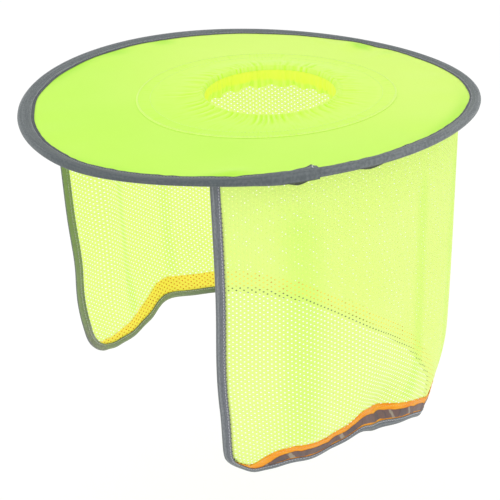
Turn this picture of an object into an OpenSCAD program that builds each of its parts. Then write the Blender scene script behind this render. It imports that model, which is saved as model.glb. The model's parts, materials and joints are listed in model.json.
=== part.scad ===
// Sun shade for a hard hat: a hooped cloth brim with a gathered elastic crown opening
// and a mesh neck flap that hangs round the sides and back.
// Origin: centre of the crown opening, at the height of the brim cloth.
// +Z is up, and the open face side looks along -Y.

/* [Brim] */
// Outside diameter of the brim over its binding
brim_d = 400; // [360:5:460]
// How far the crown opening sits behind the middle of the brim
crown_setback = 18; // [0:1:28]
// Rise of the brim's sides and fall of its front and back, left by the coiled hoop
hoop_twist = 4.7; // [0:0.1:8]
// Direction of the highest point of the hoop
twist_turn = 8; // [-45:1:45]
// Thickness of the brim and crown cloth
cloth_t = 0.5; // [0.3:0.1:0.8]

/* [Spring hoop] */
// Height of the flat spring-steel strip
strip_h = 2.6; // [2:0.2:4]
// Thickness of the strip
strip_t = 1; // [0.6:0.1:1.4]
// Length of the crimped sleeve that joins the strip's ends
sleeve_len = 30; // [20:1:38]
// Wall of the sleeve
sleeve_t = 0.25; // [0.2:0.05:0.3]
// Direction of the joint in the strip
sleeve_turn = 160; // [90:1:260]

/* [Binding tape] */
// Thickness of the grey binding tape
tape_t = 0.5; // [0.3:0.1:0.8]
// Depth that the tape covers at the brim's edge
brim_tape_w = 14; // [10:0.5:20]
// Overlap of the tape's ends on the brim, in degrees
lap_span = 9; // [5:1:20]
// Direction of the tape's cut end on the brim
lap_turn = -15; // [-40:1:40]
// Extra depth of the tape at its cut end
lap_flare = 3; // [0:0.5:5]
// Depth that the tape covers on the flap's front edges
side_tape_w = 7; // [5:0.5:10]
// Depth that the tape covers on the flap's hem
hem_tape_w = 5; // [4:0.5:6]

/* [Crown] */
// Diameter of the relaxed crown opening
opening_d = 116; // [100:1:130]
// Width of the gathered cloth round the opening
gather_w = 39; // [30:1:45]
// Width of the double-stitched lap between the crown and the brim
lap_seam_w = 14; // [10:0.5:18]
// Height of the opening's rim over the brim
crown_rise = 2.6; // [2:0.2:8]
// Number of main pleats
pleats = 32; // [24:1:40]
// Height of the pleats at the rim, each way
pleat_h = 1.5; // [0.5:0.1:2]
// Height of the elastic channel
casing_h = 10; // [8:0.5:16]
// Height of the frill below the channel
frill_h = 9; // [3:0.5:12]
// Number of scallops round the frill
scallops = 18; // [12:1:24]
// Depth of each scallop
scallop_h = 2; // [0:0.2:2.6]
// How far the frill's hem ruffles outward
ruffle_h = 2; // [0:0.2:4]
// Width of the elastic
elastic_w = 8; // [5:0.5:8]
// Thickness of the elastic
elastic_t = 1; // [0.6:0.1:1.4]

/* [Flap] */
// Thickness of the mesh
mesh_t = 0.5; // [0.3:0.1:0.8]
// Distance from the brim's binding in to the flap's seam
seam_inset = 4; // [2:0.5:10]
// Width of the flap's seam allowance, turned out under the brim
allowance_w = 3.4; // [1.5:0.1:3.6]
// Angle of the open face side
face_angle = 97.8; // [80:0.2:130]
// Turn of the whole flap about the hoop
flap_turn = 0.9; // [-5:0.1:5]
// Depth of the hem below the brim at the back
rear_drop = 303; // [262:1:340]
// Depth of the hem at the sides
side_drop = 254.5; // [220:0.5:260]
// Depth of the hem at the front corners
front_drop = 275; // [260:1:320]
// How much higher the hem hangs at +X than at -X, each way
hem_skew = -4.5; // [-8:0.5:8]
// Narrowing of the flap for each 100 mm down
taper = 3.5; // [0:0.5:6]
// Inward curl of the hem
hem_curl = 15; // [0:1:22]
// Height over which the hem curls
curl_h = 80; // [60:1:120]
// Radius of the front corners
corner_r = 23; // [15:1:35]
// Depth of the hanging folds at the hem
fold_depth = 6; // [0:0.5:9]
// Half width of a fold, in degrees
fold_w = 7; // [5:0.5:12]
// Turn of the side folds from the back
side_fold_turn = 89; // [75:1:100]
// Turn of the front folds from the back
front_fold_turn = 110; // [102:1:122]

/* [Hem tape] */
// Width of the orange tape
orange_w = 20; // [16:0.5:24]
// Thickness of the orange tape
orange_t = 0.4; // [0.2:0.1:0.6]
// Width of the reflective strip
silver_w = 8; // [5:0.5:9]
// Height of the strip's lower edge above the hem
silver_up = 6.3; // [6.2:0.1:7]
// Thickness of the strip
silver_t = 0.2; // [0.1:0.05:0.3]

/* [Clearances] */
// Gap between one layer of cloth and the next
lay_gap = 0.3; // [0.2:0.05:0.4]
// Gap between the strip and the fold of tape round it
hoop_gap = 0.7; // [0.6:0.05:0.9]
// Gap between the strip and its sleeve
crimp_gap = 0.05; // [0.05:0.05:0.1]

/* [Hidden] */

$fn = 96;
deg = 180 / PI;
lime = [0.79, 1, 0.42];
pale_lime = [0.87, 1, 0.5];
grey = [0.45, 0.47, 0.5];
steel = [0.62, 0.63, 0.65];
orange = [1, 0.6, 0.12];
silver = [0.6, 0.58, 0.58];

hoop_cols = 56;                                  // facets round the brim
brim_r = brim_d / 2;
bead_inner_r = brim_r - tape_t;                  // inside of the fold of tape
strip_out_r = bead_inner_r - hoop_gap;
strip_in_r = strip_out_r - strip_t;
brim_edge_r = strip_in_r - crimp_gap - sleeve_t - 2 * lay_gap;
leaf_h = cloth_t / 2 + lay_gap;                  // the tape's leaves, over the brim cloth
bead_h = strip_h / 2 + hoop_gap;                 // the tape's fold, over the strip
lap_lift = tape_t + 2 * lay_gap;
lap_ramp = 6;                                    // degrees over which the tape's end climbs

opening_r = opening_d / 2;
channel_w = elastic_t + 2 * lay_gap;
casing_out_r = opening_r + 2 * cloth_t + channel_w;
casing_top = crown_rise + cloth_t;
casing_low = casing_top - casing_h;
frill_r = opening_r + lay_gap;
rim_r = casing_out_r + lay_gap;
gather_r = rim_r + gather_w;
lap_r = gather_r + lap_seam_w;
crown_cols = 3 * pleats;

flap_r = brim_r - brim_tape_w - seam_inset;
flange_low = cloth_t / 2 + lay_gap + mesh_t;     // underside of the seam allowance
half_span = (360 - face_angle) / 2;
half_arc = flap_r * half_span / deg;
corner_steps = 5;
hem_steps = 44;
rear_flat = 12;                                  // the hem is level this far from the back
rear_end = 88;                                   // and has risen to the side depth here
front_start = 88;                                // it falls again from here
front_end = 118;                                 // to the front corner's depth here
fold_centres = [side_fold_turn, front_fold_turn];

function clamp01(t) = max(0, min(1, t));
function lerp(a, b, t) = a + (b - a) * t;
function smooth(t) = let(s = clamp01(t)) s * s * (3 - 2 * s);
function reversed(v) = [for (i = [len(v) - 1 : -1 : 0]) v[i]];

// ---- closed cloth from two grids of points ----

// top and bottom are rows of points. The rows follow one another so that
// (along a row) x (row to row) points out of the top.
module cloth(top, bottom, ring = false) {
    rows = len(top);
    cols = len(top[0]);
    n = rows * cols;
    last = ring ? cols - 1 : cols - 2;
    end = rows - 1;
    function at(i, j) = i * cols + j % cols;
    function quad(a, b, c, d) = [[a, c, b], [a, d, c]];
    surface = [for (i = [0 : rows - 2], j = [0 : last])
        let(a = at(i, j), b = at(i, j + 1), c = at(i + 1, j + 1), d = at(i + 1, j))
        each concat(quad(a, b, c, d), quad(n + a, n + d, n + c, n + b))];
    row_edges = [for (j = [0 : last])
        let(a = at(0, j), b = at(0, j + 1), c = at(end, j), d = at(end, j + 1))
        each concat(quad(n + a, n + b, b, a), quad(c, d, n + d, n + c))];
    col_edges = ring ? [] : [for (i = [0 : rows - 2])
        let(a = at(i, 0), d = at(i + 1, 0), b = at(i, cols - 1), c = at(i + 1, cols - 1))
        each concat(quad(n + a, a, d, n + d), quad(b, n + b, n + c, c))];
    points = concat([for (row = top) each row], [for (row = bottom) each row]);
    polyhedron(points, concat(surface, row_edges, col_edges), convexity = 10);
}

// ---- the brim's surface ----

// Height of the brim's surface, a shallow saddle held by the hoop
function brim_z(x, y) =
    let(v = y + crown_setback, r = norm([x, v]), a = atan2(v, x))
    hoop_twist * pow(r / brim_r, 2) * cos(2 * (a - twist_turn));

// A point at radius r and angle a about the middle of the hoop, h above the surface
function hoop_pt(r, a, h) =
    let(x = r * cos(a), y = r * sin(a) - crown_setback) [x, y, brim_z(x, y) + h];

// A point of the brim cloth: t runs from the hoop to the inner edge at the crown
function brim_pt(t, a, h) =
    let(
        out = [brim_edge_r * cos(a), brim_edge_r * sin(a) - crown_setback],
        in = [gather_r * cos(a), gather_r * sin(a)],
        p = lerp(out, in, t)
    ) [p.x, p.y, brim_z(p.x, p.y) + h];

function ring_angles(count) = [for (k = [0 : count - 1]) 360 * k / count];
thirds = [for (k = [0 : 3]) k / 3];

// ---- spring hoop and its sleeve ----

function strip_angle(k) = sleeve_turn + 360 * k / hoop_cols;

module spring_hoop() {
    face = [strip_in_r, strip_out_r];
    rows = [for (r = face) [for (h = [-1, 1] * strip_h / 2)
        [for (k = [0 : hoop_cols - 1]) hoop_pt(r, strip_angle(k), h)]]];
    color(steel) cloth(rows[1], rows[0], ring = true);
}

// Corners of a rectangle round the strip, with the given clearance
function strip_corners(grow, k) =
    let(h = strip_h / 2 + grow, out = strip_out_r + grow, in = strip_in_r - grow)
    [for (c = [[out, -h], [in, -h], [in, h], [out, h]]) hoop_pt(c[0], strip_angle(k), c[1])];

module hoop_sleeve() {
    half = sleeve_len / 2 / (strip_out_r * 360 / hoop_cols / deg);
    function section(grow, t) =
        t < 0 ? lerp(strip_corners(grow, 0), strip_corners(grow, -1), -t)
              : lerp(strip_corners(grow, 0), strip_corners(grow, 1), t);
    function tube(grow) = [for (t = [-half, 0, half]) section(grow, t)];
    color(steel) cloth(tube(crimp_gap + sleeve_t), tube(crimp_gap), ring = true);
}

// ---- binding tape folded over the hoop ----

// The fold, from the lower leaf round to the upper one: [radius from the brim's edge, height]
function bead(grow, extra) =
    let(
        shoulder = tape_t + 2 * hoop_gap + strip_t,
        half = [
            [-brim_tape_w - extra, leaf_h + grow],
            [-shoulder, bead_h + grow],
            [-tape_t - 0.4 * hoop_gap + 0.3 * grow, bead_h + grow],
            [-tape_t + grow, bead_h - 0.6 * hoop_gap]
        ]
    ) concat([for (p = half) [p[0], -p[1]]], reversed(half));

module hoop_binding() {
    count = hoop_cols + 2;
    start = lap_turn - lap_span;
    total = 360 + lap_span;
    function angle(k) = start + total * k / count;
    function climb(k) = clamp01((total * k / count - 360 + lap_ramp) / lap_ramp);
    function flare(k) = lap_flare * pow(max(0, total * k / count - 360) / lap_span, 2);
    function rows(grow) = [for (i = [0 : 7]) [for (k = [0 : count])
        let(p = bead(grow + lap_lift * climb(k), flare(k))[i]) hoop_pt(brim_r + p[0], angle(k), p[1])]];
    color(grey) cloth(rows(tape_t), rows(0));
}

// ---- brim and crown ----

module brim_panel() {
    function rows(h) = [for (t = thirds) [for (a = ring_angles(hoop_cols)) brim_pt(t, a, h)]];
    color(lime) cloth(rows(cloth_t / 2), rows(-cloth_t / 2), ring = true);
}

// Height of the gathered crown cloth above the brim's surface
function crown_h(r, a) =
    let(t = clamp01((gather_r - r) / gather_w), lapped = cloth_t + lay_gap)
    lerp(lapped, crown_rise, smooth(t)) + pleat_h * pow(t, 0.8) * sin(pleats * a);

function crown_pt(r, a, h) =
    let(x = r * cos(a), y = r * sin(a), hold = clamp01((r - rim_r) / gather_w))
    [x, y, brim_z(x, y) * hold + crown_h(r, a) + h];

module crown_panel() {
    radii = concat([lap_r], [for (t = thirds) lerp(gather_r, rim_r, t)]);
    function rows(h) = [for (r = radii) [for (a = ring_angles(crown_cols)) crown_pt(r, a, h)]];
    color(lime) cloth(rows(cloth_t / 2), rows(-cloth_t / 2), ring = true);
}

// ---- elastic channel and the elastic in it ----

// Edge of the casing cloth below the channel, ruffled by the elastic and scalloped
module frill() {
    cols = 3 * scallops;
    angles = ring_angles(cols);
    function ruffle(a) = (1 - cos(scallops * a)) / 2;
    function row(r, z) = [for (a = angles) [r * cos(a), r * sin(a), z]];
    function hem(r) = [for (a = angles) let(q = r + ruffle_h * ruffle(a))
        [q * cos(a), q * sin(a), casing_low - frill_h + scallop_h * ruffle(a)]];
    function rows(r) = [hem(r), row(r, casing_low + cloth_t / 2)];
    cloth(rows(frill_r + cloth_t), rows(frill_r), ring = true);
}

module crown_casing() {
    color([0.9, 1, 0.25]) union() {
        rotate_extrude() difference() {
            translate([opening_r, casing_low]) square([casing_out_r - opening_r, casing_h]);
            translate([opening_r + cloth_t, casing_low + cloth_t])
                square([channel_w, casing_h - 2 * cloth_t]);
            // the outer leaf's hem lies on the floor of the channel, and is stitched there
            translate([opening_r + cloth_t + channel_w / 2, casing_low + cloth_t])
                square([casing_out_r, lay_gap]);
        }
        frill();
    }
}

module crown_elastic() {
    inner = opening_r + cloth_t + lay_gap;
    middle = (casing_top + casing_low) / 2;
    color("white") translate([0, 0, middle - elastic_w / 2]) rotate_extrude()
        translate([inner, 0]) square([elastic_t, elastic_w]);
}

// ---- the flap, worked out flat and then wrapped round ----

// Flat co-ordinates: s is the distance round the seam from the middle of the back,
// d the depth below the brim.
function turn(s) = s / flap_r * deg;
function bearing(s) = 90 + flap_turn + turn(s);

// Depth of the hem, before the corners are rounded
function hem_depth(s) =
    let(
        phi = abs(turn(s)),
        back = (rear_drop - side_drop) * smooth((rear_end - phi) / (rear_end - rear_flat)),
        front = (front_drop - side_drop) * smooth((phi - front_start) / (front_end - front_start))
    ) side_drop + back + front + hem_skew * sin(turn(s));

// Outward push of the hanging folds
function folds(s) =
    let(phi = abs(turn(s)))
    fold_depth * max([for (c = fold_centres) exp(-pow((phi - c) / fold_w, 2))]);

// A point of the flap, off from its middle surface
function flap_pt(s, d, off) =
    let(
        a = bearing(s),
        hem = hem_depth(s),
        c = clamp01((d - hem + curl_h) / curl_h),
        r = flap_r - taper * d / 100 - hem_curl * c * c + folds(s) * d / hem,
        slope = -taper / 100 - 2 * hem_curl * c / curl_h,
        n = norm([1, slope]),
        rr = r + off / n,
        lift = (1 - d / hem) * brim_z(flap_r * cos(a), flap_r * sin(a) - crown_setback)
    ) [rr * cos(a), rr * sin(a) - crown_setback, lift - d + off * slope / n];

// Outline of the hem: [s, depth, inward direction in s, and in depth, share of the way round a corner]
function corner_at(side, k) =
    let(b = 90 * k / corner_steps, s = side * (half_arc - corner_r * (1 - cos(b))))
    [s, hem_depth(s) - corner_r * (1 - sin(b)), -side * cos(b), -sin(b), k / corner_steps];
function hem_at(k) =
    let(s = lerp(corner_r - half_arc, half_arc - corner_r, k / hem_steps))
    [s, hem_depth(s), 0, -1, 1];
hem_line = concat(
    [for (k = [0 : corner_steps - 1]) corner_at(-1, k)],
    [for (k = [0 : hem_steps]) hem_at(k)],
    [for (k = [corner_steps - 1 : -1 : 0]) corner_at(1, k)]
);

// Rows of the mesh above the hem
up = [0, orange_w, 0.45 * curl_h, 0.7 * curl_h, curl_h, 0.6 * side_drop];

module flap_mesh() {
    function seam_row(out, low) =
        [for (p = hem_line) hoop_pt(flap_r + out, bearing(p[0]), low)];
    function rows(side) = concat(
        [for (w = up) [for (p = hem_line) flap_pt(p[0], p[1] - w, side * mesh_t / 2)]],
        [seam_row(side * mesh_t / 2, -flange_low + (1 - side) / 2 * mesh_t)],
        [seam_row(allowance_w, -flange_low + (1 - side) / 2 * mesh_t)]
    );
    color(pale_lime) cloth(rows(1), rows(-1));
}

// ---- tape round the flap's free edges and hem ----

// The tape's line down one front edge, on the same rows as the mesh
function side_line(side) =
    let(s = side * half_arc, low = hem_depth(s) - corner_r)
    [for (d = concat([flange_low + lay_gap], [for (i = [len(up) - 1 : -1 : 1]) low - up[i]]))
        [s, d, -side, 0, 0]];
binding_line = concat(side_line(-1), hem_line, reversed(side_line(1)));

module flap_binding() {
    bare = mesh_t / 2 + 1.5 * lay_gap;
    taped = mesh_t / 2 + 2 * lay_gap + orange_t;
    // a point of the fold, w in from the edge and off from the mesh's middle
    function leaf(p, w, off) = flap_pt(p[0] + w * p[2], p[1] + w * p[3], off);
    function width(p) = lerp(side_tape_w, hem_tape_w, p[4]);
    function rise(p) = lerp(bare, taped, clamp01(3 * p[4]));
    function section(p, grow) = [
        leaf(p, width(p), -bare - grow),
        leaf(p, -lay_gap / 2, -bare - grow),
        leaf(p, -lay_gap - grow, (rise(p) - bare) / 2),
        leaf(p, -lay_gap / 2, rise(p) + grow),
        leaf(p, width(p), rise(p) + grow)
    ];
    function rows(grow) = [for (i = [0 : 4]) [for (p = binding_line) section(p, grow)[i]]];
    color(grey) cloth(rows(tape_t), rows(0));
}

// ---- orange tape and reflective strip on the hem ----

// Rows of a band on the hem between two heights, parallel to the flap's lowest facets
function band_rows(low, high, off, skip) = [for (w = [low, high]) [
    for (k = [skip : len(hem_line) - 1 - skip])
        let(p = hem_line[k])
        lerp(flap_pt(p[0], p[1], off), flap_pt(p[0], p[1] - orange_w, off), w / orange_w)]];

module hem_tape() {
    under = mesh_t / 2 + lay_gap;
    color(orange) cloth(
        band_rows(0, orange_w, under + orange_t, corner_steps - 2),
        band_rows(0, orange_w, under, corner_steps - 2)
    );
}

module reflective_strip() {
    under = mesh_t / 2 + 2 * lay_gap + orange_t;
    high = silver_up + silver_w;
    color(silver) cloth(
        band_rows(silver_up, high, under + silver_t, corner_steps),
        band_rows(silver_up, high, under, corner_steps)
    );
}

spring_hoop();
hoop_sleeve();
hoop_binding();
brim_panel();
crown_panel();
crown_casing();
crown_elastic();
flap_mesh();
flap_binding();
hem_tape();
reflective_strip();
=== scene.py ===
import json
import math

import bpy
import numpy as np
from mathutils import Matrix, Vector


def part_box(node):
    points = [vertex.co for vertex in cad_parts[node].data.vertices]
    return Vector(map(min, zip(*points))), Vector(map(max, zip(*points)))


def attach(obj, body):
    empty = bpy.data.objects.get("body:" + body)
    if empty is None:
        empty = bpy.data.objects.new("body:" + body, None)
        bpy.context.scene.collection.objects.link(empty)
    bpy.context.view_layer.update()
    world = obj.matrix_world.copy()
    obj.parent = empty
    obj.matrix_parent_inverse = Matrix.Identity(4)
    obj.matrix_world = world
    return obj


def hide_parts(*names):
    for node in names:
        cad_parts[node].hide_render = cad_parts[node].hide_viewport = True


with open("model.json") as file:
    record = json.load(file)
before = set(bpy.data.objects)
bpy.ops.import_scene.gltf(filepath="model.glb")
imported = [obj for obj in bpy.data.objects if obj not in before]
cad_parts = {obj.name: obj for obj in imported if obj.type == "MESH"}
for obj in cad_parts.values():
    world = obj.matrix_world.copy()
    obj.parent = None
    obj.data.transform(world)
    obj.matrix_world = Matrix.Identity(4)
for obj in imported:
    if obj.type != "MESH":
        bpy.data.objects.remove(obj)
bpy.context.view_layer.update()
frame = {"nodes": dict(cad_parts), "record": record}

# Hard hat sun shade: hooped cloth brim, gathered crown opening, mesh neck flap.
# Shapes are in millimetres and radians until add_mesh() writes them in metres, and materials are
# in metres. Places and widths in the tables below are in degrees: bearings round the brim from
# +X, and turns round the flap from its middle at the back.

MM = 0.001
TAU = 2 * math.pi
UP = np.array([0.0, 0.0, 1.0])


# ---- sizes, as the frame's solids have them ----

hoop_low, hoop_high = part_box("hoop_binding")
BRIM_R = round((hoop_high.x - hoop_low.x) / 2 / MM)
SETBACK = round(-(hoop_high.y + hoop_low.y) / 2 / MM)
OPENING_R = frame["record"]["mounts"][0]["dims"]["r_mm"]

HOOP_TWIST = 4.7
TWIST_TURN = math.radians(8)
CLOTH_T = 0.5
LAY_GAP = 0.3
LAID = CLOTH_T / 2 + LAY_GAP
HALF_CLOTH = UP * (CLOTH_T / 2)

STRIP_T = 1.0
STRIP_H = 2.6
HOOP_GAP = 0.7
TAPE_T = 0.5
BRIM_TAPE_W = 14.0
BEAD_W = TAPE_T + 2 * HOOP_GAP + STRIP_T
BEAD_SHARE = 0.22
LAP_END = math.radians(-15)
LAP_SPAN = math.radians(9)
LAP_FLARE = 9.0
LAP_CLIMB = math.radians(6)
BRIM_EDGE_R = BRIM_R - 3.1
PUCKER_R = 180.0
# (bearing, half width, size in mm) where cloth and tape hang below the hoop's even curve, where
# the tape's lower leaf hangs away from the brim, with a painted shadow there, where its fold hangs
# deeper under the hoop, and where it is wider or narrower; then (bearing, half width, strength) of
# the brim's painted shade along the tape and in its creases
HOOP_SAGS = ((3, 24, 2.0), (283, 16, 1.5))
LEAF_SAGS = ((340.5, 3.2, 5.8), (359, 5.0, 5.3))
FOLD_SLACKS = ((333, 12, 2.0),)
TAPE_WIDTHS = ((50, 28, -2.6), (325, 4, -3.2), (117, 4, -2.0), (109, 2, 1.5), (108, 50, -4.2))
BRIM_PAINTED_SHADES = ((212, 14, 1.0), (35, 24, 0.8), (290, 20, 0.6), (322, 8, 0.8))
BRIM_CREASE_SHADOWS = ((114, 3, 1.3), (104, 2, 0.4), (193, 5, 0.7), (177, 4, 0.8))

CROWN_RISE = 2.6
CASING_OUT_R = OPENING_R + 2.6
CASING_TOP = CROWN_RISE + CLOTH_T
CASING_H = 10.0
WALL_ROWS = 7
FRILL_ROWS = (1, 0.86, 0.7, 0.5, 0.3, 0.12)
FRILL_H = 9.0
SCALLOPS = 18
SCALLOP_H = 2.0
ELASTIC_W = 8.0
ELASTIC_T = 1.0
RIM_R = CASING_OUT_R + LAY_GAP
GATHER_W = 39.0
GATHER_R = RIM_R + GATHER_W
LAP_R = GATHER_R + 14.0
LAP_STITCH_W = 1.6
LAP_STITCH_R = LAP_R - LAP_STITCH_W
GATHER_STITCH_R = GATHER_R + 1.5
PLEATS = 32
PLEAT_H = 1.0
CROWN_UV_R = 80.0
# the slack opening sits a little off its centre, and tips
RIM_SHIFT = (1.7, 3.0)
RIM_TILT = 0.043
RIM_TILT_TURN = math.radians(150)

MESH_T = 0.4
FLAP_R = BRIM_R - BRIM_TAPE_W - 4
FLANGE_LOW = LAID + 0.5
ALLOWANCE_W = 3.4
HALF_SPAN = math.radians((360 - 97.8) / 2)
HALF_ARC = FLAP_R * HALF_SPAN
FLAP_TURN = math.radians(90.9)
REAR_DROP = 303.0
SIDE_DROP = 254.5
FRONT_DROP = 275.0
HEM_SKEW = -4.5
TAPER = 0.035
HEM_CURL = 15.0
CURL_H = 80.0
CORNER_R = {-1: 28.0, 1: 25.0}
FOLD_DEPTH = 6.0
FOLD_W = 7.0
FOLD_TURNS = (89.0, 110.0)
REAR_FLAT, REAR_END = 12.0, 88.0
FRONT_START, FRONT_END = 88.0, 118.0
# (turn, half width, strength) where the mesh is painted greener along a fold, as shade in it
FOLD_PAINTED_SHADES = ((-109, 8, 0.8), (-70, 3.5, 0.8), (-46, 6, 0.8), (88, 3, 0.7), (107, 3, 0.9))
# (turn, half width, size in mm) of waves in the line of the hem, and of places where the mesh
# above the stiff hem tapes is drawn in, so that they flare out (+) or tuck under (-)
HEM_WAVES = (
    (-124, 3, 2.0), (-112, 6, -8.3), (-100, 4, 0.5), (-90, 4, -5.5), (-72, 12, 4.0),
    (-53, 10, 7.0), (26, 9, -3.0), (85, 11, 6.5), (100, 4, 4.5), (109, 9, 10.5),
    (119, 5, 5.0), (128, 4, 2.5),
)
HEM_LEANS = ((-81, 9, 12.0), (-106, 12, -4.0), (-129, 6, -11.0), (80, 12, 3.0), (112, 12, 4.0))
SIDE_CURLS = ((-38, 22, 3.0), (-38, 8, 2.0), (125, 16, -5.0))
FAR_DENTS = ((112, 6.5, 12.0), (103, 4, -3.0))
# the back hangs straight between these two turns, each with its way to the curl beside it
STRAIGHT_BACK = ((-40, 50), (72, 34))
EDGE_SLIP = -3.2
FAR_EDGE_BOW = 1.5
FAR_EDGE_FLARE = 3.5
FAR_EDGE_DIP = 3.0
# the binding stretches the knit along the far front edge, and pulls it askew
FAR_PULL_W = 52.0
FAR_STRETCH, FAR_SKEW = 0.22, 0.17

SIDE_TAPE_W = 7.0
HEM_TAPE_W = 5.0
INNER_MORE = 2.6
INNER_MORE_NEAR = 1.3
FOLD_START, FOLD_END = 0.36, 0.5
INNER_LEAF_ROWS = 7
EDGE_STITCH_W = 1.1
ORANGE_W = 20.0
ORANGE_T = 0.4
ORANGE_SKIP = 5
ORANGE_STITCH_W = 2.2
SILVER_W = 8.0
SILVER_UP = 6.3
SILVER_T = 0.2
SILVER_GAP = 0.07
SILVER_SKIP = 12
LEAF_BARE = MESH_T / 2 + 0.25
LEAF_TAPED = MESH_T / 2 + 2 * LAY_GAP + ORANGE_T
# where a hem tape narrows to each front corner, side by side: (start, share there, length)
ORANGE_NARROW = {-1: (13, 0.42, 36), 1: (8, 0.42, 110)}
SILVER_NARROW = {-1: (24, 0.22, 30), 1: (8, 0.42, 110)}


# ---- small helpers ----

def smooth(t):
    t = np.clip(t, 0, 1)
    return t * t * (3 - 2 * t)


def lerp(a, b, t):
    return a + (b - a) * t


def bump(x, centre, width):
    """A smooth hill of height 1 at centre."""
    return np.exp(-((x - centre) / width) ** 2)


def near_angle(a, degrees, width):
    """A smooth hill of height 1 round one direction; width is in degrees too."""
    off = (np.degrees(a) - degrees + 180) % 360 - 180
    return np.exp(-((off / width) ** 2))


def hills(x, table):
    return sum(size * bump(x, at, half) for at, half, size in table)


def ring_hills(a, table):
    return sum(size * near_angle(a, at, half) for at, half, size in table)


def ripple(a, counts, seed):
    """A sum of waves round the ring, about 1 high, with seeded phases."""
    phases = np.random.default_rng(seed).uniform(0, TAU, len(counts))
    return sum(np.sin(n * a + p) for n, p in zip(counts, phases)) / math.sqrt(len(counts))


def stack(*parts):
    return np.stack(np.broadcast_arrays(*parts), -1).astype(float)


def round_at(r, a, z):
    return stack(r * np.cos(a), r * np.sin(a), z)


def unit(v):
    return v / np.maximum(np.linalg.norm(v, axis=-1, keepdims=True), 1e-9)


def run_along(points):
    """Distance along a line of points, from its start."""
    steps = np.linalg.norm(np.diff(points, axis=0), axis=1)
    return np.concatenate([[0], np.cumsum(steps)])


# ---- meshes ----

SHARP_ANGLE = math.radians(55)
THREAD_SIDES = 6
THREAD_TIP = 0.45


def link(piece):
    bpy.context.scene.collection.objects.link(piece)
    return piece


def add_mesh(name, points, faces, materials, uvs=None, values=(), material_of=None):
    """values has numbers for the points, for each layer, or for each row of them."""
    mesh = bpy.data.meshes.new(name)
    mesh.from_pydata((points * MM).tolist(), [], [list(f) for f in faces])
    if uvs is not None:
        layer = mesh.uv_layers.new(name="cloth")
        layer.data.foreach_set("uv", (uvs * MM).astype(np.float32).ravel())
    for material in materials:
        mesh.materials.append(material)
    if material_of is not None:
        mesh.polygons.foreach_set("material_index", material_of)
    mesh.shade_smooth()
    mesh.set_sharp_from_angle(angle=SHARP_ANGLE)
    mesh.validate()
    for key, value in dict(values).items():
        layer = mesh.attributes.new(key, "FLOAT", "POINT")
        layer.data.foreach_set("value", np.resize(value, len(points)).astype(np.float32))
    return link(bpy.data.objects.new(name, mesh))


def grid_faces(rows, cols, steps):
    """Faces of a grid of points, and the (row, column) of each of their corners. A ring takes
    as many steps as it has columns."""
    i, j = (x.ravel() for x in np.meshgrid(np.arange(rows - 1), np.arange(steps), indexing="ij"))
    corners = ((i, j), (i, j + 1), (i + 1, j + 1), (i + 1, j))
    return np.stack([row * cols + col % cols for row, col in corners], 1), corners


def add_cloth(name, top, bottom, uv, material, values=(), ring=False):
    """A closed sheet between two grids of points. (Along a row) x (row to row) points out of
    top. uv has a place, in mm, for each point. The last column of a ring is its first again."""
    if ring:
        top, bottom = top[:, :-1], bottom[:, :-1]
        values = {key: value[:, :-1] for key, value in dict(values).items()}
    rows, cols = top.shape[:2]
    n = rows * cols
    steps = cols if ring else cols - 1
    front, corners = grid_faces(rows, cols, steps)
    front_uv = np.stack([uv[corner] for corner in corners], 1)
    flipped = [0, 3, 2, 1]
    faces, places = [front, n + front[:, flipped]], [front_uv, front_uv[:, flipped]]
    here = np.arange(steps)
    there = (here + 1) % cols
    last = (rows - 1) * cols
    faces.append(np.stack([n + here, n + there, there, here], 1))
    faces.append(last + np.stack([here, there, n + there, n + here], 1))
    for row in (0, rows - 1):
        start, end = uv[row, here], uv[row, here + 1]
        places.append(np.stack([start, end, end, start], 1))
    if not ring:
        near = np.arange(rows - 1) * cols
        far = near + cols - 1
        faces.append(np.stack([n + near, near, near + cols, n + near + cols], 1))
        faces.append(np.stack([far, n + far, n + far + cols, far + cols], 1))
        for col in (0, cols - 1):
            low, high = uv[:-1, col], uv[1:, col]
            places.append(np.stack([low, low, high, high], 1))
    points = np.concatenate([top.reshape(-1, 3), bottom.reshape(-1, 3)])
    faces, places = np.concatenate(faces), np.concatenate(places)
    return add_mesh(name, points, faces, [material], places, values)


def add_threads(name, paths, out, radius, material):
    """Short tubes, one along each path of k points; out points away from the cloth."""
    count, k = paths.shape[:2]
    along = unit(np.gradient(paths, axis=1))
    side = unit(np.cross(along, out))
    rise = unit(np.cross(side, along))
    sides = THREAD_SIDES
    turns = np.arange(sides) * TAU / sides
    thick = np.full(k, radius)
    thick[[0, -1]] *= THREAD_TIP
    ring = rise[:, :, None] * np.cos(turns)[:, None] + side[:, :, None] * np.sin(turns)[:, None]
    points = (paths[:, :, None] + ring * thick[:, None, None]).reshape(-1, 3)
    base = np.arange(count)[:, None] * k * sides
    walls = (base[..., None] + grid_faces(k, sides, sides)[0]).reshape(-1, 4)
    first = base + np.arange(sides)[::-1]
    last = base + (k - 1) * sides + np.arange(sides)
    faces = walls.tolist() + first.tolist() + last.tolist()
    piece = add_mesh(name, points, faces, [material])
    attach(piece, "root")


# ---- materials ----

def srgb(red, green, blue):
    """Linear colour of an 8-bit one."""
    def linear(c):
        c /= 255
        return c / 12.92 if c <= 0.04045 else ((c + 0.055) / 1.055) ** 2.4
    return (linear(red), linear(green), linear(blue), 1.0)


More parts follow.
